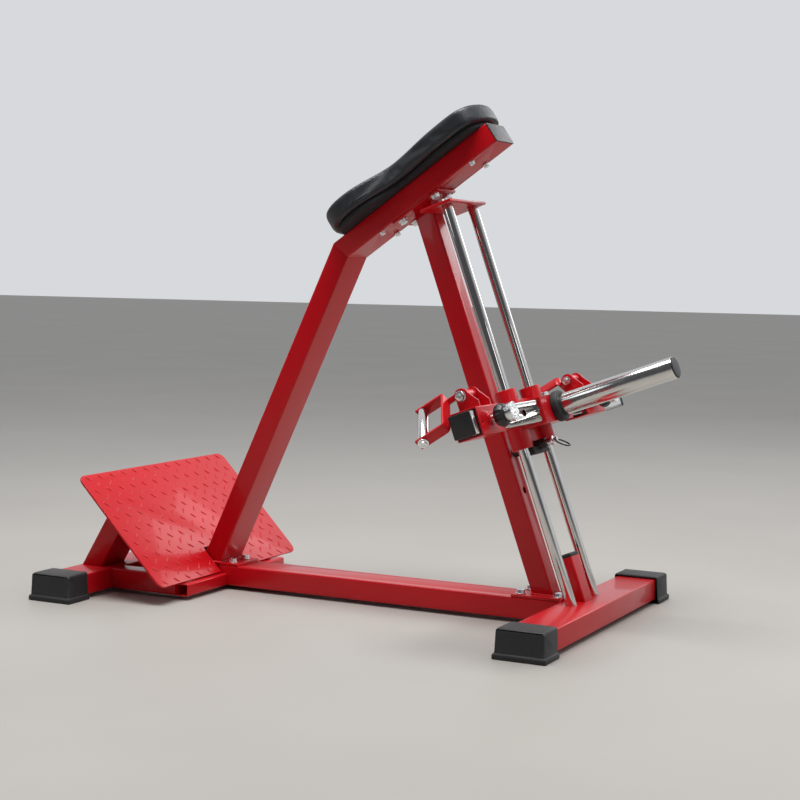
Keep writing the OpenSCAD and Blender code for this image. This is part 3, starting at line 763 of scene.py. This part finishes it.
# ---- Pop-pins ----
# A zinc pin with a fluted black knob and a ribbed chrome button; pulling it frees a block.

rod_frame = (Matrix.Translation((front_face - 0.125, 0, 0.060)) @ Matrix.Rotation(-rod_lean, 4, "Y"))
bar_centre = Vector((0.107, 0, 0.418))
knob_start = 0.044


def fluted(name, profile, ribs, depth, ribbed, steps=144):
    """A turned piece along X whose radius is cut by flutes between the two ribbed stations."""
    verts, faces = [], []
    for place, radius in profile:
        for k in range(steps):
            turn = 2 * pi * k / steps
            cut = depth * (0.5 - 0.5 * cos(ribs * turn)) if ribbed[0] <= place <= ribbed[1] else 0.0
            r = radius - cut
            verts.append((place, r * cos(turn), r * sin(turn)))
    rows = len(profile)
    for i in range(rows - 1):
        for k in range(steps):
            m = (k + 1) % steps
            faces.append([i * steps + k, i * steps + m, (i + 1) * steps + m, (i + 1) * steps + k])
    faces.append([k for k in range(steps)])
    faces.append([(rows - 1) * steps + k for k in reversed(range(steps))])
    mesh = bpy.data.meshes.new(name)
    mesh.from_pydata(verts, [], faces)
    bm = bmesh.new()
    bm.from_mesh(mesh)
    bmesh.ops.recalc_face_normals(bm, faces=bm.faces)
    bm.to_mesh(mesh)
    bm.free()
    return mesh


knob_profile = [(0.0, 0.0170), (0.0010, 0.0185), (0.0040, 0.0222), (0.0070, 0.0246), (0.0110, 0.0255),
                (0.0150, 0.0254), (0.0190, 0.0240), (0.0225, 0.0222), (0.0244, 0.0205), (0.0250, 0.0190)]
button_profile = [(0.0245, 0.0140), (0.0250, 0.0160), (0.0320, 0.0160), (0.0330, 0.0205), (0.0340, 0.0212),
                  (0.0415, 0.0212), (0.0428, 0.0203), (0.0432, 0.0190), (0.0420, 0.0172), (0.0416, 0.0150)]
for side in ("left", "right"):
    low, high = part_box(f"{side}_slider_block")
    block_y = (low.y + high.y) / 2
    spot = rod_frame @ Matrix.Translation((bar_centre.x + knob_start, block_y, bar_centre.z))
    knob = linked(f"{side}_knob", fluted(f"{side}_knob", knob_profile, 12, 0.0016, (0.004, 0.020)))
    button = linked(f"{side}_button", fluted(f"{side}_button", button_profile, 36, 0.0009,
        (0.0335, 0.042)))
    for piece in (knob, button):
        piece.data.transform(spot)
        shade(piece.data, 40)
    stand_for(knob, f"{side}_pop_knob", black_plastic)
    finish_node(f"{side}_pop_pin", zinc)
    button.data.materials.append(rod_chrome)
    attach(button, f"{side}_pop_pin")

# ---- Handles ----
# Bent flat bar in the frame's red, hinged between the ears of its block.
# A chromed grip turns on the bolt between its two arms.

grip_chrome = chrome_plate("plated_grip", 0.10, 0.15, 0.0)
for side in ("left", "right"):
    rounded(f"{side}_handle", red_coat, 0.0010, steps=3)
    rounded(f"{side}_grip", grip_chrome, 0.0010, steps=3)

# ---- Camera, light and floor ----
# A plain pale floor and soft studio light, seen from the right of the weight horn.

azimuth, elevation, roll = radians(26.87), radians(4.48), radians(0.82)
back = Vector((sin(azimuth) * cos(elevation), -cos(azimuth) * cos(elevation), sin(elevation)))
right = (-back).cross(Vector((0, 0, 1))).normalized()
up = right.cross(-back)
right, up = right * cos(roll) + up * sin(roll), up * cos(roll) - right * sin(roll)
lens = bpy.data.cameras.new("camera")
lens.lens, lens.sensor_width = 75.29, 36.0
eye = Vector((front_face + 1.267, -3.5674, 0.8095))
camera = bpy.data.objects.new("camera", lens)
bpy.context.scene.collection.objects.link(camera)
camera.matrix_world = Matrix.Translation(eye) @ Matrix((right, up, back)).transposed().to_4x4()
bpy.context.scene.camera = camera

floor_mesh = bpy.data.meshes.new("floor")
reach = 30.0
floor_mesh.from_pydata([(-reach, -reach, 0), (reach, -reach, 0), (reach, reach, 0), (-reach, reach, 0)],
    [], [[0, 1, 2, 3]])
floor = linked("floor", floor_mesh)
pale, tree, shader, place = new_material("pale_floor")
tone = add(tree, "ShaderNodeTexNoise", Vector=place, Scale=1.3, Detail=3.0).outputs["Fac"]
tree.links.new(mixed(tree, tone, (0.36, 0.34, 0.31), (0.43, 0.41, 0.38)), shader.inputs["Base Color"])
shader.inputs["Roughness"].default_value = 0.55
floor_mesh.materials.append(pale)


def soft_light(name, place, target, size, watts, tint=(1.0, 1.0, 1.0)):
    data = bpy.data.lights.new(name, "AREA")
    data.shape, data.size, data.size_y = "RECTANGLE", *size
    data.energy, data.color = watts, tint
    light = bpy.data.objects.new(name, data)
    light.location = place
    light.rotation_euler = (Vector(target) - Vector(place)).to_track_quat("-Z", "Y").to_euler()
    bpy.context.scene.collection.objects.link(light)


soft_light("ceiling", (0.0, -0.6, 4.2), (0, 0, 0.3), (3.2, 1.6), 190)
soft_light("window", (-3.4, -3.4, 2.8), (0, 0, 0.5), (1.6, 1.4), 14, (0.94, 0.97, 1.0))
soft_light("fill", (4.2, -2.8, 2.4), (0, 0, 0.5), (0.8, 2.0), 12)
soft_light("rim", (1.5, 3.8, 2.6), (0, 0, 0.6), (3.0, 1.2), 30)
world = bpy.data.worlds.new("room")
bpy.context.scene.world = world
world.use_nodes = True
room = world.node_tree
sky = add(room, "ShaderNodeSeparateXYZ", Vector=room.nodes.new("ShaderNodeTexCoord").outputs["Generated"])
depth = add(room, "ShaderNodeMapRange", Value=sky.outputs["Y"], From_Min=-0.55, From_Max=0.25)
tint = mixed(room, depth.outputs["Result"], (0.10, 0.10, 0.11), (0.80, 0.82, 0.85))
room.links.new(tint, room.nodes["Background"].inputs["Color"])
room.nodes["Background"].inputs["Strength"].default_value = 0.85
bpy.context.scene.view_settings.view_transform = "Standard"
